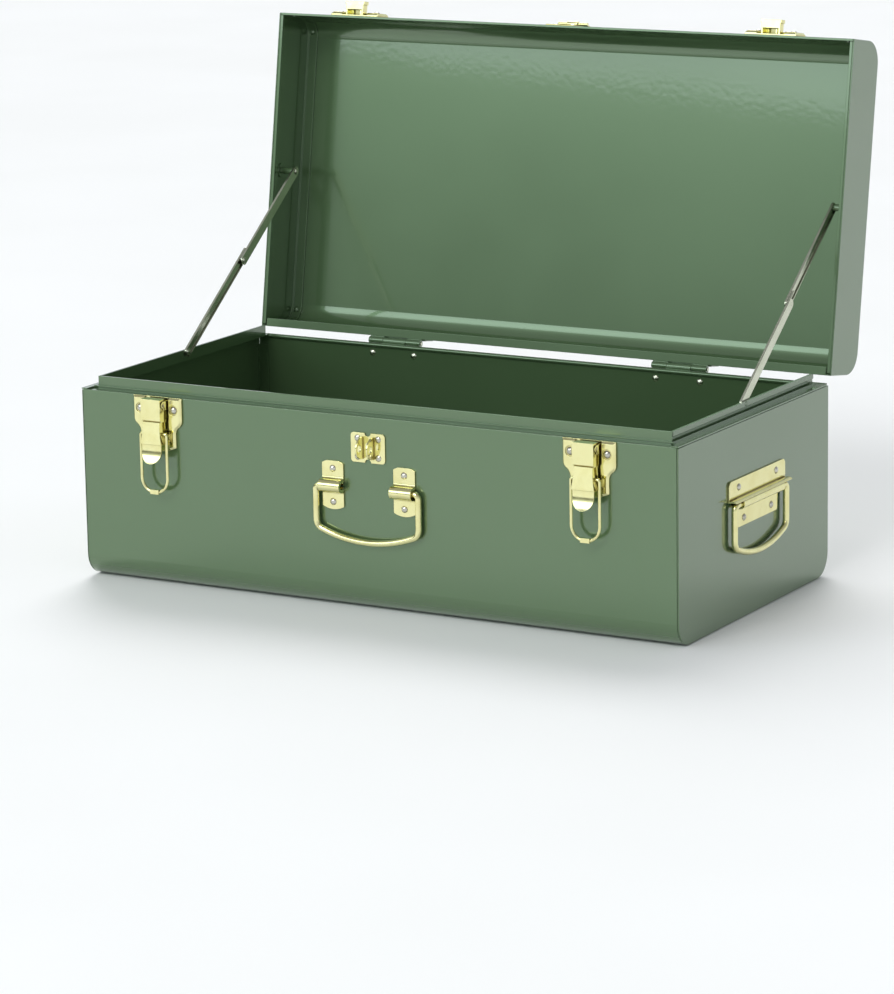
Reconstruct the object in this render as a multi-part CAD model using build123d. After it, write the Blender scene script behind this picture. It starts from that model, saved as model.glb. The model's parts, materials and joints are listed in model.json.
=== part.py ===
from build123d import *
import math
import os

# A small steel footlocker with its lid open. Millimetres. The origin is the centre of the underside of
# the body, +X runs along the front to the right, +Y to the back and +Z up. Pieces of the lid are drawn
# with the lid shut and then turned to where it rests open against its stays.

# ---- driving dimensions -------------------------------------------------------------------------
TRUNK_WIDTH = 508.0  # outside, along X
TRUNK_DEPTH = 254.0  # outside, along Y
BODY_HEIGHT = 148.0  # base to the top of the body panels, the shoulder
LID_HEIGHT = 47.0  # depth of the lid
SHEET = 0.8  # shell sheet
EDGE_RADIUS = 18.0  # folded long edges of body and lid
LID_OPEN_DEG = 99.0  # how far the lid stands open at rest
STRAP_FLIP_DEG = 195.0  # how far the hasp strap lies thrown back at rest

# ---- shell ----------------------------------------------------------------------------------------
HALF_W = TRUNK_WIDTH / 2
HALF_D = TRUNK_DEPTH / 2
END_SEAM = 0.5  # visible joint between the wraps and the end pans
NEST = 0.05  # play between nested sheets
FLANGE_DEPTH = 8.5  # end pan flange inside the wrap
FRONT_FOLD = BODY_HEIGHT - 1.1  # top of the front panel
END_FOLD = BODY_HEIGHT - 1.7  # top of the end panels
BEAD_INSET = 7.0  # ridge along the foot of the lip, behind the outer face
BEAD_TOP = BODY_HEIGHT + 1.2
LIP_INSET = 9.4  # lip face behind the outer face
LIP_TOP = BODY_HEIGHT + 8.1
LIP_HEM = 1.6  # thickness of the lip where it is hemmed
LIP_BACK_GAP = 7.0  # lip stops this far before the rear face
REAR_ROLL_R = 1.5  # rolled upper edge of the rear panel
RIVET_DRILL_R = 1.55
LID_BOTTOM = BODY_HEIGHT + 2.4
LID_TOP = LID_BOTTOM + LID_HEIGHT
REAR_FLANGE = 5.7  # inward flange on the lid's rear edge
END_HEM = 3.5  # folded hem on the lid's end edges

# ---- hinges ---------------------------------------------------------------------------------------
HINGE_X = HALF_D
HINGE_Y = HALF_D + 3.4
HINGE_Z = BODY_HEIGHT + 1.6
KNUCKLE_R = 2.7
HINGE_PIN_R = 1.35
HINGE_LENGTH = 47.0
BODY_KNUCKLE = 20.7  # length of the middle knuckle
KNUCKLE_GAP = 0.3
LEAF_THICK = 1.2
LEAF_WIDTH = 50.0
HINGE_RIVET_X = 19.0

# ---- draw latches ---------------------------------------------------------------------------------
LATCH_X = 184.0
LATCH_PLATE_THICK = 3.0
LATCH_RIVET_SEAT = 2.5  # height of the rivet seats sunk in the plates
LATCH_RIVET_X = 14.8
LATCH_RIVET_Z = BODY_HEIGHT - 10.2
CATCH_RIVET_Z = LID_BOTTOM + 10.8
LEVER_AXIS_OUT = 8.0  # lever and bail axes, out from the front face
LEVER_AXIS_Z = BODY_HEIGHT - 5.5
BAIL_AXIS_Z = BODY_HEIGHT - 28.0
LEVER_HALF_W = 8.6
LEVER_FOOT_HALF_W = 9.4  # at the crease above the thumb tab
LEVER_PIN_R = 1.3
BAIL_WIRE_R = 1.2
BAIL_HALF_W = 11.5
BAIL_LENGTH = 45.8
PIVOT_PLAY = 0.05  # radial play of a pin in its hole

# ---- hasp -----------------------------------------------------------------------------------------
STAPLE_Z = BODY_HEIGHT - 24.0
STAPLE_W = 29.0
STAPLE_H = 22.4
EAR_X = 4.6  # middle of each staple ear
EAR_THICK = 1.2
PADLOCK_R = 2.75
PADLOCK_OUT = 6.6
STRAP_W = 26.0
STRAP_LENGTH = 72.0
STRAP_AXIS_Z = LID_BOTTOM + 28.0
STRAP_AXIS_OUT = 2.4
STRAP_BAR_R = 1.2

# ---- handles --------------------------------------------------------------------------------------
HANDLE_WIRE_R = 2.4
HANDLE_HALF_W = 43.7
HANDLE_AXIS_OUT = 3.9
FRONT_HANDLE_Z = BODY_HEIGHT - 54.5
FRONT_BRACKET_X = 30.5
FRONT_BRACKET_W = 18.2
FRONT_RIVET_DZ = 12.6
SIDE_HANDLE_Z = BODY_HEIGHT - 60.0
SIDE_RIVET_TOP = (31.6, 12.0)  # half spacing, height above the axis
SIDE_RIVET_LOW = (23.0, -12.2)
STRAP_THICK = 1.3
SIDE_PLATE_THICK = 1.4
BORE_PLAY = 0.1

# ---- lid stays ------------------------------------------------------------------------------------
STAY_BODY_Y = 3.0  # pivot on the body lip
STAY_BODY_Z = BODY_HEIGHT + 6.2
STAY_LID_Y = 0.2  # pivot in the lid, drawn shut
STAY_LID_Z = LID_BOTTOM + 15.0
STAY_WIDTH = 7.6
STAY_THICK = 0.8
LOWER_ARM_X = (240.9, 242.7)
UPPER_ARM_X = (238.8, 240.6)
STAY_PIN_R = 1.3

FRONT_Y = -HALF_D
SIDES = {"left": -1, "right": 1}


# ---- helpers --------------------------------------------------------------------------------------
def box(x0, x1, y0, y1, z0, z1):
    """Solid box between two corners."""
    size = Box(x1 - x0, y1 - y0, z1 - z0)
    return Pos((x0 + x1) / 2, (y0 + y1) / 2, (z0 + z1) / 2) * size


def yz_prism(face, x0, x1):
    """Extrude a face drawn in (Y, Z) from x0 to x1."""
    return extrude(Plane.YZ.offset(x0) * face, amount=x1 - x0)


def front_prism(face, out0, out1):
    """Extrude a face drawn in (X, Z) from out0 to out1 outward from the front face."""
    return extrude(Plane.XZ.offset(HALF_D + out0) * face, amount=out1 - out0)


def polygon(*points):
    """Flat face with straight sides."""
    return make_face(Polyline(*points, close=True))


def x_rod(radius, x0, x1, y, z):
    """Round bar along X."""
    return Pos((x0 + x1) / 2, y, z) * Rot(0, 90, 0) * Cylinder(radius, abs(x1 - x0))


def fuse(pieces):
    """One shape from a list of overlapping solids."""
    whole = pieces[0]
    for piece in pieces[1:]:
        whole = whole + piece
    return whole


def mirrored(part):
    """The left-hand twin of a right-hand piece."""
    return mirror(part, about=Plane.YZ)


def handed(part, side):
    """A right-hand piece on the asked side."""
    return part if side == "right" else mirrored(part)


def turned_about_x(part, y, z, degrees):
    """Turn a part about an X-parallel axis through (y, z)."""
    return Pos(0, y, z) * Rot(degrees, 0, 0) * Pos(0, -y, -z) * part


def open_lid(part):
    """Move a piece drawn with the lid shut to where it is with the lid open."""
    return turned_about_x(part, HINGE_Y, HINGE_Z, -LID_OPEN_DEG)


def opened_point(y, z):
    """Where a point of the shut lid stands with the lid open."""
    angle = math.radians(-LID_OPEN_DEG)
    dy = y - HINGE_Y
    dz = z - HINGE_Z
    new_y = HINGE_Y + dy * math.cos(angle) - dz * math.sin(angle)
    new_z = HINGE_Z + dy * math.sin(angle) + dz * math.cos(angle)
    return new_y, new_z


# ---- rivets ---------------------------------------------------------------------------------------
def rivet(head_r, head_h, grip, shank_r, tail_r, tail_h):
    """Domed rivet with its head on +Z, gripping plates down to -grip."""
    dome_r = (head_r**2 + head_h**2) / (2 * head_h)
    dome = Pos(0, 0, head_h - dome_r) * Sphere(dome_r)
    dome = dome & Pos(0, 0, head_h) * Box(3 * head_r, 3 * head_r, 2 * head_h)
    shank = Pos(0, 0, -grip / 2) * Cylinder(shank_r, grip + 0.2)
    tail = Pos(0, 0, -grip - tail_h / 2) * Cylinder(tail_r, tail_h)
    return dome + shank + tail


def front_rivets(places, out, head_r, head_h):
    """Rivets through the front sheet, heads standing on a plate of thickness out."""
    one = rivet(head_r, head_h, out + SHEET, 1.5, 2.4, 0.7)
    return Compound([Pos(x, FRONT_Y - out, z) * Rot(90, 0, 0) * one for x, z in places])


def front_holes(places, radius=RIVET_DRILL_R):
    """Drills through the front sheet."""
    return [Pos(x, FRONT_Y, z) * Rot(90, 0, 0) * Cylinder(radius, 12) for x, z in places]


def latch_rivet_places():
    return [
        (side * LATCH_X + dx, LATCH_RIVET_Z)
        for side in (-1, 1)
        for dx in (-LATCH_RIVET_X, LATCH_RIVET_X)
    ]


def catch_rivet_places():
    return [(x, CATCH_RIVET_Z) for x, _ in latch_rivet_places()]


def staple_rivet_places():
    return [(dx, STAPLE_Z + dz) for dx in (-8.8, 8.8) for dz in (-7.0, 7.0)]


def front_handle_rivet_places():
    return [
        (side * FRONT_BRACKET_X, FRONT_HANDLE_Z + dz)
        for side in (-1, 1)
        for dz in (-FRONT_RIVET_DZ, FRONT_RIVET_DZ)
    ]


def hasp_leaf_rivet_places():
    return [(dx, LID_BOTTOM + 13.0) for dx in (-7.5, 7.5)]


def hinge_rivet_places(z):
    return [
        (side * HINGE_X + dx, z) for side in (-1, 1) for dx in (-HINGE_RIVET_X, HINGE_RIVET_X)
    ]


BODY_HINGE_RIVET_Z = BODY_HEIGHT - 8.0
LID_HINGE_RIVET_Z = LID_BOTTOM + 11.0


def rear_rivets(places):
    """Hinge rivets, domed heads inside the shell and flat tails on the leaf outside."""
    one = rivet(2.7, 1.3, SHEET + LEAF_THICK + NEST, 1.5, 2.4, 0.5)
    return Compound([Pos(x, HALF_D - SHEET, z) * Rot(90, 0, 0) * one for x, z in places])


def rear_holes(places, radius=RIVET_DRILL_R):
    return [Pos(x, HALF_D, z) * Rot(90, 0, 0) * Cylinder(radius, 8) for x, z in places]


def side_rivet_places():
    """Side handle rivets as (Y, Z)."""
    places = []
    for half, dz in (SIDE_RIVET_TOP, SIDE_RIVET_LOW):
        places += [(-half, SIDE_HANDLE_Z + dz), (half, SIDE_HANDLE_Z + dz)]
    return places


# ---- shells ---------------------------------------------------------------------------------------
def channel_face(half, z_open, z_closed, radius):
    """Section of a trough, open at z_open, with rounded corners at z_closed."""
    face = polygon((-half, z_open), (-half, z_closed), (half, z_closed), (half, z_open))
    corners = [v for v in face.vertices() if abs(v.Y - z_closed) < 0.01]
    return fillet(corners, radius)


def channel_shell(inset, z_open, z_closed, thick, x0, x1):
    """Trough of sheet whose outer face lies inset inside the trunk's outline."""
    inward = 1 if z_closed < z_open else -1
    outer = channel_face(HALF_D - inset, z_open, z_closed + inward * inset, EDGE_RADIUS - inset)
    deeper = inset + thick
    inner = channel_face(
        HALF_D - deeper, z_open + inward, z_closed + inward * deeper, EDGE_RADIUS - deeper
    )
    return yz_prism(outer, x0, x1) - yz_prism(inner, x0 - 1, x1 + 1)


WRAP_HALF = HALF_W - SHEET - END_SEAM
FLANGE_IN = WRAP_HALF - FLANGE_DEPTH


def body_wrap():
    """Front, bottom and back of the body in one folded sheet, with a rolled rear edge."""
    wrap = channel_shell(0, BODY_HEIGHT, 0, SHEET, -WRAP_HALF, WRAP_HALF)
    wrap -= box(-HALF_W, HALF_W, FRONT_Y - 1, FRONT_Y + 2, FRONT_FOLD, BODY_HEIGHT + 1)
    fold = [
        e
        for e in wrap.edges()
        if abs(e.center().Z - FRONT_FOLD) < 0.01 and abs(e.center().Y - FRONT_Y) < 0.01
    ]
    wrap = fillet(fold, 0.5)
    wrap += x_rod(
        REAR_ROLL_R, -WRAP_HALF, WRAP_HALF, HALF_D - REAR_ROLL_R, BODY_HEIGHT - REAR_ROLL_R
    )
    holes = front_holes(
        latch_rivet_places() + staple_rivet_places() + front_handle_rivet_places()
    ) + rear_holes(hinge_rivet_places(BODY_HINGE_RIVET_Z))
    return wrap - holes


def end_panel(z_open, z_closed):
    """Flat end panel with its outer edge broken, open end left square."""
    panel = yz_prism(channel_face(HALF_D, z_open, z_closed, EDGE_RADIUS), HALF_W - SHEET, HALF_W)
    rim = [
        e
        for e in panel.edges()
        if abs(e.center().X - HALF_W) < 0.01 and abs(e.center().Z - z_open) > 0.01
    ]
    return chamfer(rim, 0.45)


def body_end(side):
    """End pan: a flat panel with a flange that sits inside the wrap."""
    flange_inset = SHEET + NEST
    flange_top = BODY_HEIGHT - 9.0
    pan = end_panel(END_FOLD, 0)
    pan += channel_shell(flange_inset, flange_top, 0, SHEET, FLANGE_IN, HALF_W - SHEET)
    drills = [
        Pos(HALF_W, y, z) * Rot(0, 90, 0) * Cylinder(RIVET_DRILL_R, 12)
        for y, z in side_rivet_places()
    ]
    return handed(pan - drills, side)


LIP_END_Y = HALF_D - LIP_BACK_GAP
HEM_INSET = LIP_INSET + LIP_HEM  # inner face of the lip
CORNER_LEDGE = 5.0  # width of an end ledge where it reaches the front face


def body_lip_front():
    """Front rim strip: skirt, low ledge, undercut bead and an upstanding hemmed lip."""
    skirt_inset = SHEET + NEST
    ledge = BODY_HEIGHT - 1.3
    bead_low = BODY_HEIGHT + 0.3
    bead_half = HALF_W - BEAD_INSET
    lip_half = HALF_W - LIP_INSET

    def bar(half, inset0, inset1, z0, z1):
        return box(-half, half, FRONT_Y + inset0, FRONT_Y + inset1, z0, z1)

    skirt_half = HALF_W - CORNER_LEDGE - NEST
    return fuse(
        [
            bar(WRAP_HALF - FLANGE_DEPTH - NEST, skirt_inset, 2 * SHEET + NEST, ledge - 6.0, ledge),
            bar(skirt_half, skirt_inset, LIP_INSET + SHEET, ledge - SHEET, ledge),
            bar(lip_half, BEAD_INSET + 1.3, LIP_INSET, ledge - SHEET, bead_low + 0.2),
            bar(bead_half, BEAD_INSET, LIP_INSET, bead_low, BEAD_TOP),
            bar(lip_half, LIP_INSET, LIP_INSET + SHEET, ledge - SHEET, LIP_TOP),
            bar(lip_half - LIP_HEM, LIP_INSET, HEM_INSET, LIP_TOP - 4.0, LIP_TOP),
        ]
    )


def body_lip_end(side):
    """End rim strip: ledge over the end panel, a low ridge and a lip hemmed over a recessed web."""
    ledge = BODY_HEIGHT - 0.1
    ledge_end = HALF_D - 2 * REAR_ROLL_R - NEST
    bead_start = FRONT_Y + LIP_INSET + NEST
    lip_start = bead_start + SHEET + 1.0
    hem_low = LIP_TOP - 3.9

    def bar(inset0, inset1, y0, y1, z0, z1):
        return box(HALF_W - inset1, HALF_W - inset0, y0, y1, z0, z1)

    strip = fuse(
        [
            bar(0.05, CORNER_LEDGE, FRONT_Y + 0.05, ledge_end, ledge - 0.9, ledge),
            bar(SHEET + NEST, 2 * SHEET + NEST, bead_start, ledge_end, ledge - 7.0, ledge),
            bar(CORNER_LEDGE - 1, LIP_INSET, bead_start, ledge_end, ledge - 0.9, ledge),
            bar(LIP_INSET - 1, HEM_INSET, bead_start + SHEET, ledge_end, ledge - 0.9, ledge),
            bar(BEAD_INSET, BEAD_INSET + 1.2, bead_start, LIP_END_Y, ledge - 0.9, BEAD_TOP),
            bar(HEM_INSET - SHEET, HEM_INSET, lip_start, LIP_END_Y, ledge - 0.9, LIP_TOP),
            bar(LIP_INSET, HEM_INSET, lip_start, LIP_END_Y, hem_low, LIP_TOP),
        ]
    )
    lip_x = HALF_W - LIP_INSET
    blind = x_rod(
        STAY_PIN_R, HALF_W - HEM_INSET - 1, HALF_W - HEM_INSET + 0.9, STAY_BODY_Y, STAY_BODY_Z
    )
    ring = x_rod(1.8, lip_x - 0.35, lip_x + 1, STAY_BODY_Y, STAY_BODY_Z)
    ring -= x_rod(1.4, lip_x - 1, lip_x + 2, STAY_BODY_Y, STAY_BODY_Z)
    return handed(strip - blind - ring, side)


LID_CORNER_TURN = 17.0  # degrees round the folded edge from the flat top to a corner rivet


def lid_corner_frames():
    """Where the corner rivets sit, +Z along each rivet and the origin on the lid's outer skin."""
    x = WRAP_HALF - 3.4
    y = HALF_D - EDGE_RADIUS
    z = LID_TOP - EDGE_RADIUS
    return [
        Pos(sx * x, sy * y, z) * Rot(-sy * LID_CORNER_TURN, 0, 0) * Pos(0, 0, EDGE_RADIUS)
        for sx in (-1, 1)
        for sy in (-1, 1)
    ]


def lid_corner_drills():
    return [frame * Cylinder(RIVET_DRILL_R, 8) for frame in lid_corner_frames()]


def lid_wrap():
    """Front, top and back of the lid, hemmed in front and flanged inward at the back."""
    wrap = channel_shell(0, LID_BOTTOM, LID_TOP, SHEET, -WRAP_HALF, WRAP_HALF)
    hem_y = FRONT_Y + SHEET
    hem_top = LID_BOTTOM + 7.0
    wrap += box(-WRAP_HALF, WRAP_HALF, hem_y, hem_y + 0.9, LID_BOTTOM, hem_top)
    flange_y = HALF_D - SHEET - REAR_FLANGE
    flange_top = LID_BOTTOM + 1.2
    flange_x = WRAP_HALF - END_HEM
    wrap += box(-flange_x, flange_x, flange_y, HALF_D - SHEET, LID_BOTTOM, flange_top)
    holes = (
        front_holes(catch_rivet_places() + hasp_leaf_rivet_places())
        + rear_holes(hinge_rivet_places(LID_HINGE_RIVET_Z))
        + lid_corner_drills()
    )
    return open_lid(wrap - holes)


def lid_end(side):
    """Lid end pan: flat panel, inner flange with a rolled edge and a folded hem on the open edge."""
    panel_x = HALF_W - SHEET
    pan = end_panel(LID_BOTTOM, LID_TOP)
    inset = SHEET + NEST
    flange_low = LID_BOTTOM + 8.0
    rolled = 1.7
    pan += channel_shell(inset, flange_low, LID_TOP, SHEET, FLANGE_IN, panel_x)
    pan += channel_shell(inset, flange_low, LID_TOP, rolled, FLANGE_IN, FLANGE_IN + rolled)
    pan += channel_shell(inset, flange_low, LID_TOP, rolled, panel_x - 0.9, panel_x)
    hem_half = HALF_D - 2.0
    hem_x = panel_x - END_HEM + SHEET
    pan += box(hem_x, panel_x, -hem_half, hem_half, LID_BOTTOM, LID_BOTTOM + SHEET)
    pan += box(hem_x, hem_x + SHEET, -hem_half, hem_half, LID_BOTTOM, LID_BOTTOM + 6.0)
    pan -= box(panel_x - 0.6, panel_x, -HALF_D, HALF_D, LID_BOTTOM - 1, LID_BOTTOM + 0.45)
    return open_lid(handed(pan - lid_corner_drills(), side))


def lid_corner_rivets():
    """Four rivets that tie the end pans to the lid's folded edges, domes inside."""
    grip = 2 * SHEET + NEST + 0.25
    one = rivet(2.5, 1.3, grip, 1.5, 2.3, 0.4)
    frames = lid_corner_frames()
    return open_lid(Compound([frame * Pos(0, 0, -grip) * Rot(180, 0, 0) * one for frame in frames]))


# ---- hinges ---------------------------------------------------------------------------------------
def knuckle(x0, x1):
    """Length of rolled hinge tube, drawn about the hinge axis."""
    tube = x_rod(KNUCKLE_R, x0, x1, HINGE_Y, HINGE_Z)
    bore = x_rod(HINGE_PIN_R + PIVOT_PLAY, x0 - 1, x1 + 1, HINGE_Y, HINGE_Z)
    return tube - bore


def leaf_drills(z):
    return [
        Pos(dx, HALF_D, z) * Rot(90, 0, 0) * Cylinder(RIVET_DRILL_R, 8)
        for dx in (-HINGE_RIVET_X, HINGE_RIVET_X)
    ]


def hinge_body_leaf(side):
    """Leaf on the rear panel with the long middle knuckle."""
    half = LEAF_WIDTH / 2
    y0 = HALF_D + NEST
    y1 = y0 + LEAF_THICK
    reach = BODY_KNUCKLE / 2
    plate = box(-half, half, y0, y1, BODY_HEIGHT - 15, BODY_HEIGHT - 3)
    neck = box(-reach, reach, y0, y1, BODY_HEIGHT - 4, HINGE_Z)
    leaf = plate + neck + knuckle(-reach, reach) - leaf_drills(BODY_HINGE_RIVET_Z)
    return Pos(SIDES[side] * HINGE_X, 0, 0) * leaf


def hinge_lid_leaf(side):
    """Leaf on the lid's rear wall with the two outer knuckles."""
    half = LEAF_WIDTH / 2
    y0 = HALF_D + NEST
    y1 = y0 + LEAF_THICK
    leaf = box(-half, half, y0, y1, LID_BOTTOM + 2.8, LID_BOTTOM + 16)
    inner = BODY_KNUCKLE / 2 + KNUCKLE_GAP
    outer = HINGE_LENGTH / 2
    for x0, x1 in ((-outer, -inner), (inner, outer)):
        leaf += box(x0, x1, y0, y1, HINGE_Z, LID_BOTTOM + 3)
        leaf += knuckle(x0, x1)
    leaf -= leaf_drills(LID_HINGE_RIVET_Z)
    return open_lid(Pos(SIDES[side] * HINGE_X, 0, 0) * leaf)


def hinge_pin(side):
    """Pin through the three knuckles, with its ends just proud."""
    half = HINGE_LENGTH / 2 + 0.6
    x = SIDES[side] * HINGE_X
    return x_rod(HINGE_PIN_R, x - half, x + half, HINGE_Y, HINGE_Z)


# ---- draw latches ---------------------------------------------------------------------------------
def bevelled_plate(face):
    """Plate on the front face with a bevelled rim."""
    plate = front_prism(face, 0, LATCH_PLATE_THICK)
    front_y = FRONT_Y - LATCH_PLATE_THICK
    rim = [e for e in plate.edges() if abs(e.center().Y - front_y) < 0.01]
    return chamfer(rim, 1.6)


def rivet_seats(z):
    """Drills and shallow round seats for the two rivets of a latch plate."""
    cuts = []
    for dx in (-LATCH_RIVET_X, LATCH_RIVET_X):
        cuts.append(Pos(dx, FRONT_Y, z) * Rot(90, 0, 0) * Cylinder(RIVET_DRILL_R, 12))
        seat = front_prism(Pos(dx, z) * Circle(3.9), LATCH_RIVET_SEAT, LATCH_PLATE_THICK + 2)
        cuts.append(seat)
    return cuts


def latch_base_face(inset):
    """Outline of the base plate, all edges drawn in by inset."""
    top = BODY_HEIGHT - 1.0 - inset
    wide = 21.5 - inset
    narrow = 15.8 - inset
    low = BODY_HEIGHT - 39.5 + inset
    waist0 = (wide, BODY_HEIGHT - 18.0)
    waist1 = ((wide + narrow) / 2, BODY_HEIGHT - 23.5)
    waist2 = (narrow, BODY_HEIGHT - 29.0)
    inward = TangentArc(waist0, waist1, tangent=(0, -1))
    downward = TangentArc(waist1, waist2, tangent=inward % 1)
    half = make_face(
        [
            Line((0, top), (wide, top)),
            Line((wide, top), waist0),
            inward,
            downward,
            Line(waist2, (narrow, low)),
            ThreePointArc((narrow, low), (narrow * 0.6, low - 2.2), (0, low - 3.5)),
            Line((0, low - 3.5), (0, top)),
        ]
    )
    return half + mirror(half, about=Plane.YZ)


def latch_base(side):
    """Base plate: wide above, waisted below, channel in the middle and two ears for the pin."""
    channel = 10.8
    plate = bevelled_plate(latch_base_face(0))
    plate -= box(-channel, channel, FRONT_Y - 9, FRONT_Y - 1.0, 0, 2 * BODY_HEIGHT)
    wings = latch_base_face(1.5) - Pos(0, BODY_HEIGHT) * Rectangle(2 * channel + 3, 200)
    plate -= front_prism(wings, -0.1, LATCH_PLATE_THICK - 1.0)
    ear_y = FRONT_Y - LEVER_AXIS_OUT
    ears = []
    for sign in (-1, 1):
        x0, x1 = sorted((sign * 8.95, sign * 9.65))
        blank = box(x0, x1, ear_y, FRONT_Y - 0.5, LEVER_AXIS_Z - 4.2, LEVER_AXIS_Z + 2.6)
        ears.append(blank + x_rod(2.6, x0, x1, ear_y, LEVER_AXIS_Z))
    plate -= rivet_seats(LATCH_RIVET_Z)
    base = fuse([plate] + ears) - x_rod(LEVER_PIN_R, -12, 12, ear_y, LEVER_AXIS_Z)
    return Pos(SIDES[side] * LATCH_X, 0, 0) * base


def latch_pin(side):
    """Lever pin, riveted over in the base plate's ears."""
    x = SIDES[side] * LATCH_X
    y = FRONT_Y - LEVER_AXIS_OUT
    return x_rod(LEVER_PIN_R, x - 9.85, x + 9.85, y, LEVER_AXIS_Z)


def latch_lever(side):
    """Pressed lever: boxed top, waisted middle and a round thumb tab that curls outward."""
    z = BODY_HEIGHT
    top, step, flare = z - 1.5, z - 17.6, z - 18.9
    flare_low, tab_top, tab_round = z - 35.8, z - 36.8, z - 42.0

    def at(out, height):
        return (FRONT_Y - out, height)

    side_view = polygon(
        at(3.4, top),
        at(11.8, top),
        at(11.8, step),
        at(10.0, step),
        at(10.0, flare),
        at(11.2, flare),
        at(12.4, flare_low),
        at(11.3, flare_low),
        at(11.3, tab_top),
        at(6.5, z - 35.5),
        at(3.4, z - 30.0),
    )
    tab_view = make_face(
        [
            Line(at(10.1, flare_low), at(11.4, flare_low)),
            ThreePointArc(at(11.4, flare_low), at(12.0, z - 44.0), at(16.1, z - 52.5)),
            Line(at(16.1, z - 52.5), at(14.9, z - 53.1)),
            ThreePointArc(at(14.9, z - 53.1), at(10.7, z - 44.3), at(10.1, flare_low)),
        ]
    )
    blank = LEVER_FOOT_HALF_W
    lever = yz_prism(side_view, -blank, blank) + yz_prism(tab_view, -blank, blank)
    waist = 7.65
    half_outline = make_face(
        [
            Line((0, top), (LEVER_HALF_W, top)),
            Line((LEVER_HALF_W, top), (LEVER_HALF_W, flare)),
            Line((LEVER_HALF_W, flare), (waist, flare)),
            ThreePointArc((waist, flare), (8.05, z - 28.0), (LEVER_FOOT_HALF_W, flare_low)),
            Line((LEVER_FOOT_HALF_W, flare_low), (LEVER_HALF_W, tab_top)),
            Line((LEVER_HALF_W, tab_top), (LEVER_HALF_W, tab_round)),
            ThreePointArc(
                (LEVER_HALF_W, tab_round),
                (LEVER_HALF_W * math.sqrt(0.5), tab_round - LEVER_HALF_W * math.sqrt(0.5)),
                (0, tab_round - LEVER_HALF_W),
            ),
            Line((0, tab_round - LEVER_HALF_W), (0, top)),
        ]
    )
    outline = half_outline + mirror(half_outline, about=Plane.YZ)
    lever = lever & front_prism(outline, 0, 20)
    hollow_y = FRONT_Y - 9.2
    for inside, low, high in ((7.5, step + 0.6, top - 1.0), (6.4, z - 35.0, step + 0.7)):
        lever -= box(-inside, inside, hollow_y, FRONT_Y, low, high)
    lever -= x_rod(LEVER_PIN_R + PIVOT_PLAY, -12, 12, FRONT_Y - LEVER_AXIS_OUT, LEVER_AXIS_Z)
    lever -= x_rod(BAIL_WIRE_R + PIVOT_PLAY, -12, 12, FRONT_Y - LEVER_AXIS_OUT, BAIL_AXIS_Z)
    return Pos(SIDES[side] * LATCH_X, 0, 0) * lever


def latch_bail(side):
    """Wire loop hung in the lever's sides, with a flattened nub at the foot."""
    stub = 6.0
    foot = -BAIL_LENGTH
    path = FilletPolyline(
        (-stub, 0),
        (-BAIL_HALF_W, 0),
        (-BAIL_HALF_W, foot),
        (BAIL_HALF_W, foot),
        (BAIL_HALF_W, 0),
        (stub, 0),
        radius=[1.8, 11.4, 11.4, 1.8],
    )
    placed = Plane.XZ.offset(-FRONT_Y + LEVER_AXIS_OUT) * (Pos(0, BAIL_AXIS_Z) * path)
    start = placed @ 0
    wire = sweep(Plane(start, z_dir=placed % 0) * Circle(BAIL_WIRE_R), path=placed)
    nub_y = FRONT_Y - LEVER_AXIS_OUT - 0.3  # swung up, it passes behind the catch's overhang
    nub = Pos(0, nub_y, BAIL_AXIS_Z + foot + 0.6) * Box(7.5, 2.7, 3.4)
    return Pos(SIDES[side] * LATCH_X, 0, 0) * (wire + nub)


def arch_face(half, low, high):
    """Upright arch: straight sides under a round top."""
    shoulder = high - half
    return make_face(
        [
            Line((-half, low), (half, low)),
            Line((half, low), (half, shoulder)),
            ThreePointArc((half, shoulder), (0, high), (-half, shoulder)),
            Line((-half, shoulder), (-half, low)),
        ]
    )


def latch_catch(side):
    """Catch on the lid: arched plate and a hollow arched boss with an overhanging face."""
    low = LID_BOTTOM + 0.4
    shoulder = LID_BOTTOM + 17.5
    apex = LID_BOTTOM + 24.5
    half = 21.5
    face = make_face(
        [
            Line((-half, low), (half, low)),
            Line((half, low), (half, shoulder)),
            ThreePointArc((half, shoulder), (0, apex), (-half, shoulder)),
            Line((-half, shoulder), (-half, low)),
        ]
    )
    plate = bevelled_plate(face)
    dish = arch_face(11.6, low - 1, LID_BOTTOM + 16.6)
    plate -= front_prism(dish, 1.0, 5.0)
    hollow = offset(face, amount=-1.5, kind=Kind.INTERSECTION) - arch_face(
        12.8, low - 2, LID_BOTTOM + 17.8
    )
    plate -= front_prism(hollow, -0.1, LATCH_PLATE_THICK - 1.0)
    neck = front_prism(arch_face(7.8, low, LID_BOTTOM + 12.8), 0.5, 10)
    head = front_prism(arch_face(8.6, low, LID_BOTTOM + 13.7), 9.2, 11.8)
    cavity = front_prism(arch_face(6.6, low - 1, LID_BOTTOM + 11.4), 1.0, 5.4)
    pocket = front_prism(arch_face(6.6, low + 1.2, LID_BOTTOM + 11.4), 5.0, 10.6)
    plate -= rivet_seats(CATCH_RIVET_Z)
    catch = plate + neck + head - cavity - pocket
    return open_lid(Pos(SIDES[side] * LATCH_X, 0, 0) * catch)


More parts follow.
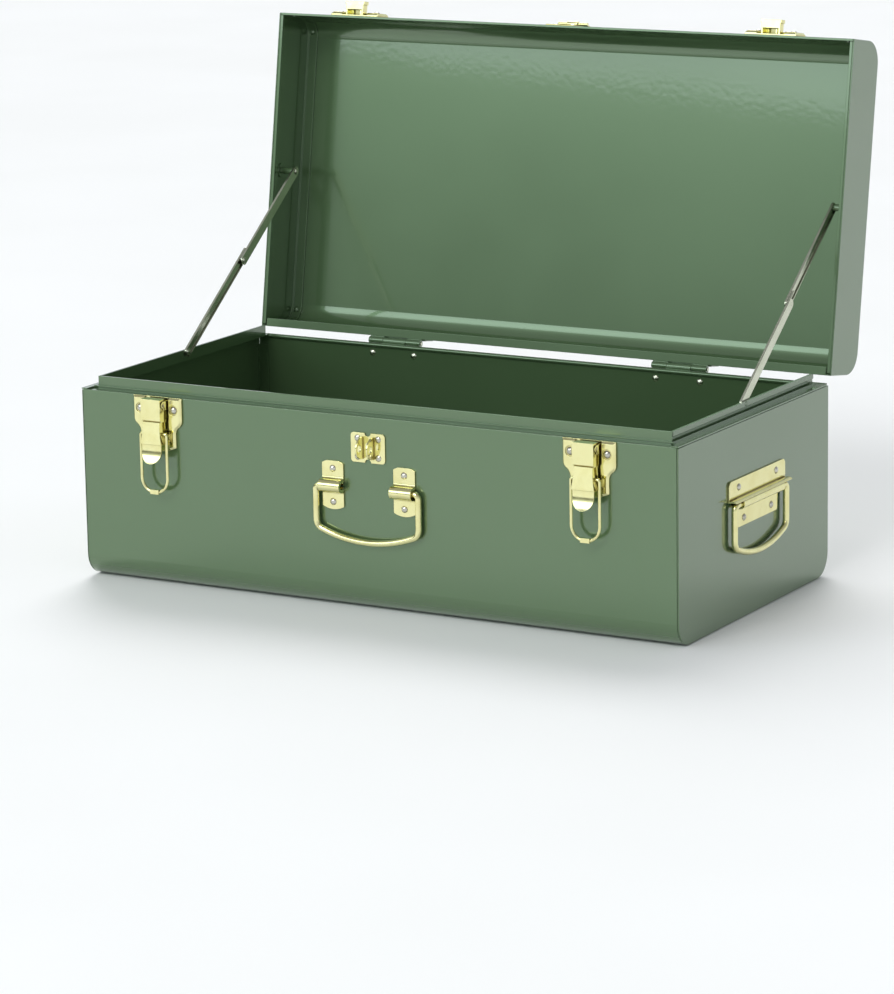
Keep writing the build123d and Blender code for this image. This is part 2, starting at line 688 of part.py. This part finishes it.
# ---- hasp -----------------------------------------------------------------------------------------
def hasp_staple():
    """Staple plate with two half-round ears drilled for a padlock."""
    outline = fillet(Rectangle(STAPLE_W, STAPLE_H).vertices(), 2.5)
    notch_half = STAPLE_H / 2
    outline -= Pos(0, notch_half) * Circle(2.6)
    outline -= Pos(0, -notch_half) * Circle(2.6)
    plate = front_prism(Pos(0, STAPLE_Z) * outline, 0, 1.0)
    ear_view = make_face(
        [
            Line((FRONT_Y - 0.5, STAPLE_Z - 8.2), (FRONT_Y - 0.5, STAPLE_Z + 8.2)),
            Line((FRONT_Y - 0.5, STAPLE_Z + 8.2), (FRONT_Y - 2.6, STAPLE_Z + 8.2)),
            ThreePointArc(
                (FRONT_Y - 2.6, STAPLE_Z + 8.2),
                (FRONT_Y - 10.8, STAPLE_Z),
                (FRONT_Y - 2.6, STAPLE_Z - 8.2),
            ),
            Line((FRONT_Y - 2.6, STAPLE_Z - 8.2), (FRONT_Y - 0.5, STAPLE_Z - 8.2)),
        ]
    )
    staple = plate
    for sign in (-1, 1):
        middle = sign * EAR_X
        staple += yz_prism(ear_view, middle - EAR_THICK / 2, middle + EAR_THICK / 2)
    staple -= x_rod(PADLOCK_R, -10, 10, FRONT_Y - PADLOCK_OUT, STAPLE_Z)
    return staple - front_holes(staple_rivet_places())


def hasp_leaf():
    """Leaf on the lid whose tongue curls round the strap's bar."""
    axis_y = FRONT_Y - STRAP_AXIS_OUT
    plate = front_prism(Pos(0, LID_BOTTOM + 14.5) * Rectangle(24, 19), 0, 0.9)
    stem = front_prism(Pos(0, (LID_BOTTOM + 23 + STRAP_AXIS_Z) / 2) * Rectangle(9.2, 5.0), 0.35, 1.05)
    link = front_prism(Pos(0, LID_BOTTOM + 22.5) * Rectangle(9.2, 2.4), 0.1, 1.05)
    curl = x_rod(2.05, -4.6, 4.6, axis_y, STRAP_AXIS_Z)
    curl -= x_rod(STRAP_BAR_R + PIVOT_PLAY, -6, 6, axis_y, STRAP_AXIS_Z)
    leaf = plate + link + stem + curl
    leaf -= front_holes(hasp_leaf_rivet_places())
    leaf -= x_rod(STRAP_BAR_R + PIVOT_PLAY, -6, 6, axis_y, STRAP_AXIS_Z)
    return open_lid(leaf)


def hasp_strap():
    """Swinging strap: rolled bar and window at the top, side notches, and a slot for the ears."""
    low = STRAP_AXIS_Z - STRAP_LENGTH
    half = STRAP_W / 2
    face = Pos(0, (low + STRAP_AXIS_Z) / 2) * Rectangle(STRAP_W, STRAP_LENGTH)
    for sign in (-1, 1):
        face -= Pos(sign * (half + 0.6), BODY_HEIGHT + 1.0) * Circle(4.0)
        face -= Pos(sign * half, low) * Circle(4.4)
    face -= Pos(0, STRAP_AXIS_Z - 3.4) * Rectangle(10.2, 6.8)
    face -= Pos(0, STAPLE_Z) * Rectangle(13.0, 18.6)
    for dz in (-10.2, 10.2):
        face -= Pos(0, STAPLE_Z + dz) * Circle(2.2)
    blade = front_prism(face, 2.5, 3.5)
    bar = x_rod(STRAP_BAR_R, -half, half, FRONT_Y - STRAP_AXIS_OUT, STRAP_AXIS_Z)
    strap = turned_about_x(
        blade + bar, FRONT_Y - STRAP_AXIS_OUT, STRAP_AXIS_Z, -STRAP_FLIP_DEG
    )
    return open_lid(strap)


# ---- handles --------------------------------------------------------------------------------------
def handle_path():
    """Centre line of a handle bail in its own plane: stubs, legs and a bowed grip."""
    stub = 24.0
    corner_z = -31.5
    bow_z = -47.5
    return FilletPolyline(
        (-stub, 0),
        (-HANDLE_HALF_W, 0),
        (-HANDLE_HALF_W, corner_z),
        (0, bow_z),
        (HANDLE_HALF_W, corner_z),
        (HANDLE_HALF_W, 0),
        (stub, 0),
        radius=[3.9, 7.0, 108.0, 7.0, 3.9],
    )


def handle_bail():
    """Wire bail hanging from the X axis, in the XZ plane."""
    path = Plane.XZ * handle_path()
    return sweep(Plane(path @ 0, z_dir=path % 0) * Circle(HANDLE_WIRE_R), path=path)


def front_handle_bail():
    return Pos(0, FRONT_Y - HANDLE_AXIS_OUT, FRONT_HANDLE_Z) * handle_bail()


def side_handle_bail(side):
    bail = Pos(HALF_W + HANDLE_AXIS_OUT, 0, SIDE_HANDLE_Z) * Rot(0, 0, 90) * handle_bail()
    return handed(bail, side)


def strap_section(reach_up, reach_down, thick, ring, blend):
    """Section (out, height) of a strap that lies flat and humps over the handle wire."""
    bore = HANDLE_WIRE_R + BORE_PLAY
    flat_up = Pos(thick / 2, reach_up / 2) * Rectangle(thick, reach_up)
    flat_down = Pos(thick / 2, -reach_down / 2) * Rectangle(thick, reach_down)
    hump = flat_up + flat_down + Pos(HANDLE_AXIS_OUT, 0) * Circle(bore + ring)
    creases = [v for v in hump.vertices() if abs(v.X - thick) < 0.01 and abs(v.Y) < 2 * bore]
    hump = fillet(creases, blend)
    hump &= Pos(20, 0) * Rectangle(40, 80)
    hump -= Pos(HANDLE_AXIS_OUT, 0) * Circle(bore)
    return hump - Rectangle(3.0, 2 * bore)


def front_handle_bracket(side):
    """Strap bracket: arched ends, one rivet above and one below the wire."""
    up = 19.0
    down = 18.4
    half = FRONT_BRACKET_W / 2
    arch = 2.4
    bar = extrude(strap_section(up, down, STRAP_THICK, 2.4, 1.8), amount=FRONT_BRACKET_W)
    outward = Plane(origin=(0, 0, 0), x_dir=(0, -1, 0), z_dir=(1, 0, 0)).location
    standing = Pos(-half, FRONT_Y, FRONT_HANDLE_Z) * outward * bar
    top = FRONT_HANDLE_Z + up
    low = FRONT_HANDLE_Z - down
    arched = make_face(
        [
            ThreePointArc((-half, top - arch), (0, top), (half, top - arch)),
            Line((half, top - arch), (half, low + arch)),
            ThreePointArc((half, low + arch), (0, low), (-half, low + arch)),
            Line((-half, low + arch), (-half, top - arch)),
        ]
    )
    bracket = standing & front_prism(arched, -1, 14)
    bracket -= [
        Pos(0, FRONT_Y, FRONT_HANDLE_Z + dz) * Rot(90, 0, 0) * Cylinder(RIVET_DRILL_R, 12)
        for dz in (-FRONT_RIVET_DZ, FRONT_RIVET_DZ)
    ]
    return Pos(SIDES[side] * FRONT_BRACKET_X, 0, 0) * bracket


def side_handle_plate(side):
    """Rolled plate: broad flat above, roll over the wire and a narrower flat below."""
    broad = 47.4
    narrow = 34.5
    thick = SIDE_PLATE_THICK
    up = 18.0
    down = 18.2

    def along_y(section, half):
        frame = Plane(origin=(0, 0, 0), x_dir=(1, 0, 0), z_dir=(0, -1, 0)).location
        return Pos(HALF_W, half, SIDE_HANDLE_Z) * frame * extrude(section, amount=2 * half)

    roll = along_y(strap_section(up, down, thick, thick, 0.8), narrow)
    hood_bore = HANDLE_WIRE_R + BORE_PLAY + 0.6
    hood_low = 2.81
    hood = Pos(HANDLE_AXIS_OUT, 0) * (Circle(hood_bore + thick) - Circle(hood_bore))
    hood &= Pos(HANDLE_AXIS_OUT, hood_low + 5) * Rectangle(12, 10)
    flat = Pos(thick / 2, (hood_low + up) / 2) * Rectangle(thick, up - hood_low)
    plate = roll + along_y(hood + flat, broad)
    top = SIDE_HANDLE_Z + up
    wing_low = SIDE_HANDLE_Z - 1
    corner = 4.0
    outline = make_face(
        FilletPolyline(
            (-broad, wing_low),
            (-broad, top),
            (broad, top),
            (broad, wing_low),
            (narrow, wing_low),
            (narrow - 1, SIDE_HANDLE_Z - down),
            (1 - narrow, SIDE_HANDLE_Z - down),
            (-narrow, wing_low),
            radius=[0, corner, corner, 0, 0, 2.0, 2.0, 0],
            close=True,
        )
    )
    plate = plate & yz_prism(outline, HALF_W - 1, HALF_W + 14)
    plate -= [
        Pos(HALF_W, y, z) * Rot(0, 90, 0) * Cylinder(RIVET_DRILL_R, 12)
        for y, z in side_rivet_places()
    ]
    return handed(plate, side)


def side_handle_rivets():
    """Rivets of both side handles."""
    thick = SIDE_PLATE_THICK
    one = rivet(2.7, 1.5, thick + SHEET, 1.5, 2.4, 0.7)
    right = [Pos(HALF_W + thick, y, z) * Rot(0, 90, 0) * one for y, z in side_rivet_places()]
    return Compound(right + [mirrored(piece) for piece in right])


# ---- lid stays ------------------------------------------------------------------------------------
STAY_LID_OPEN_Y, STAY_LID_OPEN_Z = opened_point(STAY_LID_Y, STAY_LID_Z)
STAY_SPAN_Y = STAY_LID_OPEN_Y - STAY_BODY_Y
STAY_SPAN_Z = STAY_LID_OPEN_Z - STAY_BODY_Z
STAY_ARM = math.hypot(STAY_SPAN_Y, STAY_SPAN_Z) / 2  # the open stay is dead straight
STAY_ANGLE = math.degrees(math.atan2(STAY_SPAN_Z, STAY_SPAN_Y))


def stay_channel(x_range, web_at_high_x, tab):
    """Channel arm from its pivot at the origin to the elbow along +Y."""
    x0, x1 = x_range
    outline = Pos(STAY_ARM / 2, 0) * SlotOverall(STAY_ARM + STAY_WIDTH, STAY_WIDTH)
    arm = yz_prism(outline, x0, x1)
    gutter = STAY_WIDTH / 2 - STAY_THICK
    hollow0, hollow1 = (x0 - 1, x1 - STAY_THICK) if web_at_high_x else (x0 + STAY_THICK, x1 + 1)
    arm -= box(hollow0, hollow1, -20, STAY_ARM + 20, -gutter, gutter)
    if tab:
        arm += box(x0, x1, STAY_ARM - 8, STAY_ARM + 10, gutter, gutter + STAY_THICK)
    arm -= x_rod(STAY_PIN_R + PIVOT_PLAY, x0 - 2, x1 + 2, 0, 0)
    return arm - x_rod(ELBOW_SHANK_R, x0 - 2, x1 + 2, STAY_ARM, 0)


ELBOW_SHANK_R = 1.3
ELBOW_BOSS_R = 2.0
STAY_GAP = 0.2  # from the elbow halves to the other arm


def stay_lower_arm(side):
    """Arm on the body, web outward, with a stop tab past the elbow."""
    arm = stay_channel(LOWER_ARM_X, True, True)
    return handed(Pos(0, STAY_BODY_Y, STAY_BODY_Z) * Rot(STAY_ANGLE, 0, 0) * arm, side)


def stay_upper_arm(side):
    """Arm in the lid, web inward."""
    arm = stay_channel(UPPER_ARM_X, False, False)
    place = Pos(0, STAY_LID_OPEN_Y, STAY_LID_OPEN_Z)
    return handed(place * Rot(STAY_ANGLE + 180, 0, 0) * arm, side)


def elbow_place():
    return Pos(0, STAY_BODY_Y + STAY_SPAN_Y / 2, STAY_BODY_Z + STAY_SPAN_Z / 2)


def stay_lower_elbow(side):
    """Lower arm's half of the elbow rivet: a boss in the channel, closed over flush outside."""
    x0, x1 = LOWER_ARM_X
    half = x_rod(ELBOW_SHANK_R, x0 + STAY_GAP, x1, 0, 0)
    half += x_rod(ELBOW_BOSS_R, x0 + STAY_GAP, x1 - STAY_THICK, 0, 0)
    return handed(elbow_place() * half, side)


def stay_upper_elbow(side):
    """Upper arm's half of the elbow rivet, with the domed head that shows."""
    x0, x1 = UPPER_ARM_X
    grip = STAY_THICK / 2
    half = Pos(x0, 0, 0) * Rot(0, -90, 0) * rivet(2.8, 1.3, grip, ELBOW_SHANK_R, ELBOW_SHANK_R, 0.1)
    half += x_rod(ELBOW_SHANK_R, x0, x1 - STAY_GAP, 0, 0)
    half += x_rod(ELBOW_BOSS_R, x0 + STAY_THICK, x1 - STAY_GAP, 0, 0)
    return handed(elbow_place() * half, side)


STUD_COLLAR_R = 2.7
STUD_HEAD_R = 2.9


def stay_body_studs():
    """Studs set in the lip that carry the lower arms, each with a domed inner head."""
    arm0, arm1 = LOWER_ARM_X
    lip_inner = HALF_W - HEM_INSET
    web = arm1 - STAY_THICK
    stud = x_rod(STAY_PIN_R, arm0, lip_inner + 0.9, 0, 0)
    stud += x_rod(STUD_COLLAR_R, arm0 + 0.4, web - STAY_GAP, 0, 0)
    stud += Pos(arm0 + 0.4, 0, 0) * Rot(0, -90, 0) * rivet(STUD_HEAD_R, 1.2, 0.2, 1.2, 1.2, 0.1)
    right = Pos(0, STAY_BODY_Y, STAY_BODY_Z) * stud
    return Compound([right, mirrored(right)])


def stay_lid_bosses():
    """Footed bosses on the lid's end panels that stand the upper arms off."""
    panel_x = HALF_W - SHEET
    web = UPPER_ARM_X[0] + STAY_THICK
    boss = x_rod(6.0, panel_x - 1.2, panel_x, 0, 0)
    boss += x_rod(STUD_COLLAR_R, web + STAY_GAP, panel_x, 0, 0)
    boss -= x_rod(STAY_PIN_R, web, panel_x + 1, 0, 0)
    right = Pos(0, STAY_LID_Y, STAY_LID_Z) * boss
    return open_lid(Compound([right, mirrored(right)]))


def stay_lid_studs():
    """Rivets through the bosses that carry the upper arms."""
    x0 = UPPER_ARM_X[0]
    stud = x_rod(STAY_PIN_R, x0 - 0.4, HALF_W - SHEET, 0, 0)
    stud += Pos(x0 - STAY_GAP, 0, 0) * Rot(0, -90, 0) * rivet(STUD_HEAD_R, 1.3, 0.2, 1.2, 1.2, 0.1)
    right = Pos(0, STAY_LID_Y, STAY_LID_Z) * stud
    return open_lid(Compound([right, mirrored(right)]))


# ---- all nodes ------------------------------------------------------------------------------------
def all_nodes():
    nodes = {
        "body_wrap": body_wrap(),
        "body_lip_front": body_lip_front(),
        "lid_wrap": lid_wrap(),
        "lid_corner_rivets": lid_corner_rivets(),
        "hinge_body_rivets": rear_rivets(hinge_rivet_places(BODY_HINGE_RIVET_Z)),
        "hinge_lid_rivets": open_lid(rear_rivets(hinge_rivet_places(LID_HINGE_RIVET_Z))),
        "latch_base_rivets": front_rivets(latch_rivet_places(), LATCH_RIVET_SEAT, 3.0, 1.9),
        "latch_catch_rivets": open_lid(
            front_rivets(catch_rivet_places(), LATCH_RIVET_SEAT, 3.0, 1.9)
        ),
        "hasp_staple": hasp_staple(),
        "hasp_staple_rivets": front_rivets(staple_rivet_places(), 1.0, 2.5, 1.1),
        "hasp_leaf": hasp_leaf(),
        "hasp_leaf_rivets": open_lid(front_rivets(hasp_leaf_rivet_places(), 0.9, 2.6, 0.9)),
        "hasp_strap": hasp_strap(),
        "front_handle_bail": front_handle_bail(),
        "front_handle_rivets": front_rivets(front_handle_rivet_places(), STRAP_THICK, 2.7, 1.6),
        "side_handle_rivets": side_handle_rivets(),
        "stay_body_studs": stay_body_studs(),
        "stay_lid_bosses": stay_lid_bosses(),
        "stay_lid_studs": stay_lid_studs(),
    }
    makers = {
        "body_end": body_end,
        "body_lip": body_lip_end,
        "lid_end": lid_end,
        "hinge_body_leaf": hinge_body_leaf,
        "hinge_lid_leaf": hinge_lid_leaf,
        "hinge_pin": hinge_pin,
        "latch_base": latch_base,
        "latch_pin": latch_pin,
        "latch_lever": latch_lever,
        "latch_bail": latch_bail,
        "latch_catch": latch_catch,
        "front_handle_bracket": front_handle_bracket,
        "side_handle_plate": side_handle_plate,
        "side_handle_bail": side_handle_bail,
        "stay_lower_arm": stay_lower_arm,
        "stay_upper_arm": stay_upper_arm,
        "stay_lower_elbow": stay_lower_elbow,
        "stay_upper_elbow": stay_upper_elbow,
    }
    for name, maker in makers.items():
        for side in SIDES:
            nodes[f"{name}_{side}"] = maker(side)
    return nodes


if __name__ == "__main__":
    os.makedirs("parts", exist_ok=True)
    for name, shape in all_nodes().items():
        export_step(shape, f"parts/{name}.step")
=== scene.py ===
import json
import math

import bpy
from mathutils import Matrix, Vector

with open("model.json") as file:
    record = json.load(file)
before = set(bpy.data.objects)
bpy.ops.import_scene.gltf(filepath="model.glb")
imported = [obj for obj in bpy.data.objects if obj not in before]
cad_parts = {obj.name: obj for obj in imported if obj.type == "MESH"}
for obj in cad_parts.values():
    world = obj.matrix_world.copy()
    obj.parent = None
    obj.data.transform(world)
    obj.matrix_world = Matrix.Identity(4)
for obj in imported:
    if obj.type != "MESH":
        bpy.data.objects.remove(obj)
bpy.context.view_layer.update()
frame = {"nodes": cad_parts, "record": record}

# ---- camera ---------------------------------------------------------------------------------------
CAMERA_PLACE = Vector((1.5467, -2.7086, 0.7647))
CAMERA_YAW = 29.84  # degrees from the front towards +X
CAMERA_PITCH = 12.71
CAMERA_ROLL = -0.95
CAMERA_LENS = 151.6
SENSOR_WIDTH = 36.0
CLIP_NEAR = 0.05
CLIP_FAR = 60.0

# ---- paint ----------------------------------------------------------------------------------------
PAINT_GREEN = (0.106, 0.182, 0.085, 1.0)
PAINT_DEEP = (0.095, 0.168, 0.075, 1.0)
PAINT_METALLIC = 0.45
PAINT_GLOSS = (0.21, 0.265)
LACQUER_IOR = 1.56
LACQUER_ROUGHNESS = 0.05

# ---- plated metals --------------------------------------------------------------------------------
BRASS_PALE = (0.86, 0.82, 0.43, 1.0)
BRASS_DEEP = (0.76, 0.70, 0.30, 1.0)
BRASS_GLOSS = (0.09, 0.17)
NICKEL_LIGHT = (0.62, 0.60, 0.53, 1.0)
NICKEL_DARK = (0.46, 0.44, 0.37, 1.0)
NICKEL_GLOSS = (0.17, 0.25)
# painted shade: dark brown put into the corners, seams and steps of the brass and nickel parts
CREVICE_SHADE_COLOUR = (0.26, 0.20, 0.05, 1.0)
ZINC_LIGHT = (0.68, 0.70, 0.57, 1.0)
ZINC_DARK = (0.54, 0.57, 0.43, 1.0)
ZINC_GLOSS = (0.18, 0.265)
# painted shade: dark olive put into the corners and seams of the zinc parts
ZINC_CREVICE_SHADE = (0.10, 0.11, 0.07, 1.0)
# how far the painted shade on the zinc parts reaches from a corner
ZINC_SHADE_REACH = 0.002
# how far the painted shade on the brass and nickel parts reaches from a corner
PLATE_SHADE_REACH = 0.003
EDGE_ROUND = 0.0004
STRIP_EDGE_ROUND = 0.0003
EDGE_SAMPLES = 6
CREVICE_SAMPLES = 8

# ---- studio ---------------------------------------------------------------------------------------
FLOOR_GREY = 0.91
FLOOR_SHADE = (0.97, 0.97, 0.965)  # tint of the floor's slightly darker patches
FLOOR_ROUGHNESS = 0.6
FLOOR_HALF = 30.0
FLOOR_DROP = 0.0004  # keeps the floor clear of the underside
WORLD_STRENGTH = 0.95
WALL_TILT = 0.16  # how much sooner the wall brightens towards the right
WALL_RISE = 0.2  # keeps the wall's height above zero where it dips below the horizon
WALL_STOPS = (
    (0.18, (0.18, 0.20, 0.18, 1.0)),
    (0.33, (0.90, 0.96, 1.0, 1.0)),
    (0.95, (0.36, 0.37, 0.38, 1.0)),
)
LIGHT_AIM = (0.0, 0.0, 0.2)


# ---- node helpers ---------------------------------------------------------------------------------
class Surface:
    """A principled material with short calls for its nodes."""

    def __init__(self, name):
        self.material = bpy.data.materials.new(name)
        self.material.use_nodes = True
        self.tree = self.material.node_tree
        self.shader = self.tree.nodes["Principled BSDF"]
        self.place = self.tree.nodes.new("ShaderNodeTexCoord").outputs["Object"]

    def node(self, kind, **settings):
        made = self.tree.nodes.new(kind)
        for key, value in settings.items():
            setattr(made, key, value)
        return made

    def link(self, start, end):
        self.tree.links.new(start, end)

    def noise(self, scale, detail, rough=0.55, stretch=(1, 1, 1)):
        mapping = self.node("ShaderNodeMapping")
        mapping.inputs["Scale"].default_value = stretch
        self.link(self.place, mapping.inputs["Vector"])
        made = self.node("ShaderNodeTexNoise")
        made.inputs["Scale"].default_value = scale
        made.inputs["Detail"].default_value = detail
        made.inputs["Roughness"].default_value = rough
        self.link(mapping.outputs["Vector"], made.inputs["Vector"])
        return made.outputs["Fac"]

    def ramp(self, value, low, high, start=0.35, end=0.65):
        """Colour that runs from low to high as the value runs from start to end."""
        made = self.node("ShaderNodeValToRGB")
        made.color_ramp.elements[0].position = start
        made.color_ramp.elements[0].color = low
        made.color_ramp.elements[1].position = end
        made.color_ramp.elements[1].color = high
        self.link(value, made.inputs["Fac"])
        return made.outputs["Color"]

    def span(self, value, low, high, start, end):
        """Number that runs smoothly from low to high as the value runs from start to end."""
        made = self.node("ShaderNodeMapRange", interpolation_type="SMOOTHSTEP")
        made.inputs["From Min"].default_value = start
        made.inputs["From Max"].default_value = end
        made.inputs["To Min"].default_value = low
        made.inputs["To Max"].default_value = high
        self.link(value, made.inputs["Value"])
        return made.outputs["Result"]

    def soft_edges(self, radius=EDGE_ROUND):
        """Normal that rounds sharp sheet edges by a fraction of a millimetre."""
        made = self.node("ShaderNodeBevel", samples=EDGE_SAMPLES)
        made.inputs["Radius"].default_value = radius
        return made.outputs["Normal"]

    def painted_crevice_shade(self, open_colour, shade_colour, reach):
        """Painted shade: open colour where a surface is free, shade colour darkening steps, seams
        and corners that ambient occlusion finds.
        """
        made = self.node("ShaderNodeAmbientOcclusion", samples=CREVICE_SAMPLES)
        made.inputs["Distance"].default_value = reach
        free = self.span(made.outputs["AO"], 0.0, 1.0, 0.4, 0.9)
        mixed = self.node("ShaderNodeMix", data_type="RGBA")
        self.link(free, mixed.inputs["Factor"])
        colour_low, colour_high = mixed.inputs[6], mixed.inputs[7]
        colour_low.default_value = shade_colour
        self.link(open_colour, colour_high)
        return mixed.outputs[2]

    def bump(self, height, strength, distance, under):
        made = self.node("ShaderNodeBump")
        made.inputs["Strength"].default_value = strength
        made.inputs["Distance"].default_value = distance
        self.link(height, made.inputs["Height"])
        self.link(under, made.inputs["Normal"])
        return made.outputs["Normal"]

    def set(self, **values):
        for key, value in values.items():
            socket = self.shader.inputs[key.replace("_", " ")]
            if isinstance(value, float):
                socket.default_value = value
            else:
                self.link(value, socket)


# ---- finishes -------------------------------------------------------------------------------------
def painted_green():
    """Glossy enamel with a metallic ground: orange peel, panel waviness and slow tone drift."""
    s = Surface("green_enamel")
    colour = s.ramp(s.noise(5.0, 2.0), PAINT_DEEP, PAINT_GREEN, 0.2, 0.8)
    gloss = s.span(s.noise(14.0, 2.0), *PAINT_GLOSS, 0.1, 0.9)
    wave = s.bump(s.noise(9.0, 0.0), 0.30, 0.0010, s.soft_edges())
    peel = s.bump(s.noise(260.0, 0.0), 0.10, 0.00010, wave)
    s.set(Base_Color=colour, Metallic=PAINT_METALLIC, Roughness=gloss, Normal=wave)
    s.set(Coat_Weight=1.0, Coat_IOR=LACQUER_IOR, Coat_Roughness=LACQUER_ROUGHNESS)
    s.set(Coat_Normal=peel)
    return s.material


def plated_metal(name, light, dark, gloss_range):
    """Bright plate: painted shade darkening its corners, light smudges, faint stamping dents and
    fine grain.
    """
    s = Surface(name)
    smudged = s.ramp(s.noise(70.0, 3.0), dark, light, 0.15, 0.55)
    # painted shade: dark brown mixed into corners and seams where occlusion is found
    colour = s.painted_crevice_shade(smudged, CREVICE_SHADE_COLOUR, PLATE_SHADE_REACH)
    gloss = s.span(s.noise(180.0, 4.0), *gloss_range, 0.2, 0.8)
    dents = s.bump(s.noise(95.0, 2.0, 0.5), 0.10, 0.0004, s.soft_edges())
    grain = s.bump(s.noise(1500.0, 2.0, 0.6), 0.05, 0.00008, dents)
    s.set(Base_Color=colour, Roughness=gloss, Normal=grain, Metallic=1.0)
    return s.material


def zinc_steel():
    """Zinc-plated strip: drawn grain, a mottled dull finish and painted shade darkening its corners.
    """
    s = Surface("zinc_plate")
    mottle = s.ramp(s.noise(60.0, 3.0), ZINC_DARK, ZINC_LIGHT, 0.2, 0.7)
    # painted shade: dark olive mixed into corners and seams where occlusion is found
    colour = s.painted_crevice_shade(mottle, ZINC_CREVICE_SHADE, ZINC_SHADE_REACH)
    gloss = s.span(s.noise(150.0, 3.0), *ZINC_GLOSS, 0.2, 0.8)
    drawn = s.noise(900.0, 2.0, 0.6, (1, 0.15, 0.15))
    grain = s.bump(drawn, 0.05, 0.00008, s.soft_edges(STRIP_EDGE_ROUND))
    s.set(Base_Color=colour, Roughness=gloss, Normal=grain, Metallic=1.0)
    return s.material


def studio_floor_material():
    """Pale studio card with a faint unevenness."""
    s = Surface("studio_card")
    pale = (FLOOR_GREY, FLOOR_GREY, FLOOR_GREY, 1.0)
    soft = (*(FLOOR_GREY * tint for tint in FLOOR_SHADE), 1.0)
    s.set(Base_Color=s.ramp(s.noise(2.0, 2.0), soft, pale), Roughness=FLOOR_ROUGHNESS)
    return s.material


def dress_nodes():
    """Give each CAD node the finish of its material slot."""
    finishes = {
        "painted_shell": painted_green(),
        "plated_hardware": plated_metal("brass_plate", BRASS_PALE, BRASS_DEEP, BRASS_GLOSS),
        "zinc_steel": zinc_steel(),
        "nickel_rivets": plated_metal("nickel_rivet", NICKEL_LIGHT, NICKEL_DARK, NICKEL_GLOSS),
    }
    slots = {part["node"]: part["material_slot"] for part in frame["record"]["subparts"]}
    for name, piece in frame["nodes"].items():
        piece.data.materials.clear()
        piece.data.materials.append(finishes[slots[name]])


# ---- stage ----------------------------------------------------------------------------------------
def place_in_scene(name, data):
    placed = bpy.data.objects.new(name, data)
    bpy.context.scene.collection.objects.link(placed)
    return placed


def make_floor():
    half = FLOOR_HALF
    mesh = bpy.data.meshes.new("studio_floor")
    corners = [(-half, -half, 0), (half, -half, 0), (half, half, 0), (-half, half, 0)]
    mesh.from_pydata(corners, [], [(0, 1, 2, 3)])
    mesh.materials.append(studio_floor_material())
    floor = place_in_scene("studio_floor", mesh)
    floor.location.z = -FLOOR_DROP


def make_world():
    """Studio walls: dim at the floor, white a little above it, and greyer overhead."""
    world = bpy.data.worlds.new("studio")
    bpy.context.scene.world = world
    world.use_nodes = True
    nodes, links = world.node_tree.nodes, world.node_tree.links
    place = nodes.new("ShaderNodeTexCoord")
    split = nodes.new("ShaderNodeSeparateXYZ")
    links.new(place.outputs["Generated"], split.inputs["Vector"])
    sideways = nodes.new("ShaderNodeMath")
    sideways.operation = "MULTIPLY_ADD"
    sideways.inputs[1].default_value = WALL_TILT
    sideways.inputs[2].default_value = WALL_RISE
    links.new(split.outputs["X"], sideways.inputs[0])
    height = nodes.new("ShaderNodeMath")
    height.operation = "ADD"
    links.new(split.outputs["Z"], height.inputs[0])
    links.new(sideways.outputs[0], height.inputs[1])
    rise = nodes.new("ShaderNodeValToRGB")
    stops = rise.color_ramp.elements
    low, wall, top = WALL_STOPS
    stops[0].position, stops[0].color = low
    stops[1].position, stops[1].color = top
    stops.new(wall[0]).color = wall[1]
    links.new(height.outputs[0], rise.inputs["Fac"])
    background = nodes["Background"]
    links.new(rise.outputs["Color"], background.inputs["Color"])
    background.inputs["Strength"].default_value = WORLD_STRENGTH


def area_light(name, place, size, power, tint):
    """Soft rectangular light that faces the object."""
    lamp = bpy.data.lights.new(name, "AREA")
    lamp.shape = "RECTANGLE"
    lamp.size, lamp.size_y = size
    lamp.energy = power
    lamp.color = tint
    holder = place_in_scene(name, lamp)
    holder.location = place
    direction = Vector(LIGHT_AIM) - Vector(place)
    holder.rotation_euler = direction.to_track_quat("-Z", "Y").to_euler()


def soft_sun(name, towards, strength, spread):
    """Very soft distant light that shines from the direction given."""
    lamp = bpy.data.lights.new(name, "SUN")
    lamp.energy = strength
    lamp.angle = math.radians(spread)
    holder = place_in_scene(name, lamp)
    holder.rotation_euler = Vector(towards).to_track_quat("Z", "Y").to_euler()


def make_lights():
    area_light("window_left", (-2.3, -3.6, 1.95), (3.2, 1.8), 38, (0.86, 0.98, 1.0))
    soft_sun("back_light", (-0.30, 0.60, 0.77), 1.35, 35.0)
    soft_sun("front_light", (-0.05, -0.74, 0.67), 0.95, 24.0)


def make_camera():
    lens = bpy.data.cameras.new("camera")
    lens.lens = CAMERA_LENS
    lens.sensor_width = SENSOR_WIDTH
    lens.clip_start, lens.clip_end = CLIP_NEAR, CLIP_FAR
    yaw, pitch, roll = (math.radians(v) for v in (CAMERA_YAW, CAMERA_PITCH, CAMERA_ROLL))
    back = Vector(
        (math.sin(yaw) * math.cos(pitch), -math.cos(yaw) * math.cos(pitch), math.sin(pitch))
    )
    right = Vector((math.cos(yaw), math.sin(yaw), 0.0))
    upward = back.cross(right)
    rolled_right = right * math.cos(roll) + upward * math.sin(roll)
    rolled_up = upward * math.cos(roll) - right * math.sin(roll)
    turn = Matrix((rolled_right, rolled_up, back)).transposed()
    camera = place_in_scene("camera", lens)
    camera.matrix_world = Matrix.Translation(CAMERA_PLACE) @ turn.to_4x4()
    bpy.context.scene.camera = camera


dress_nodes()
make_floor()
make_world()
make_lights()
make_camera()
bpy.context.scene.view_settings.view_transform = "Standard"
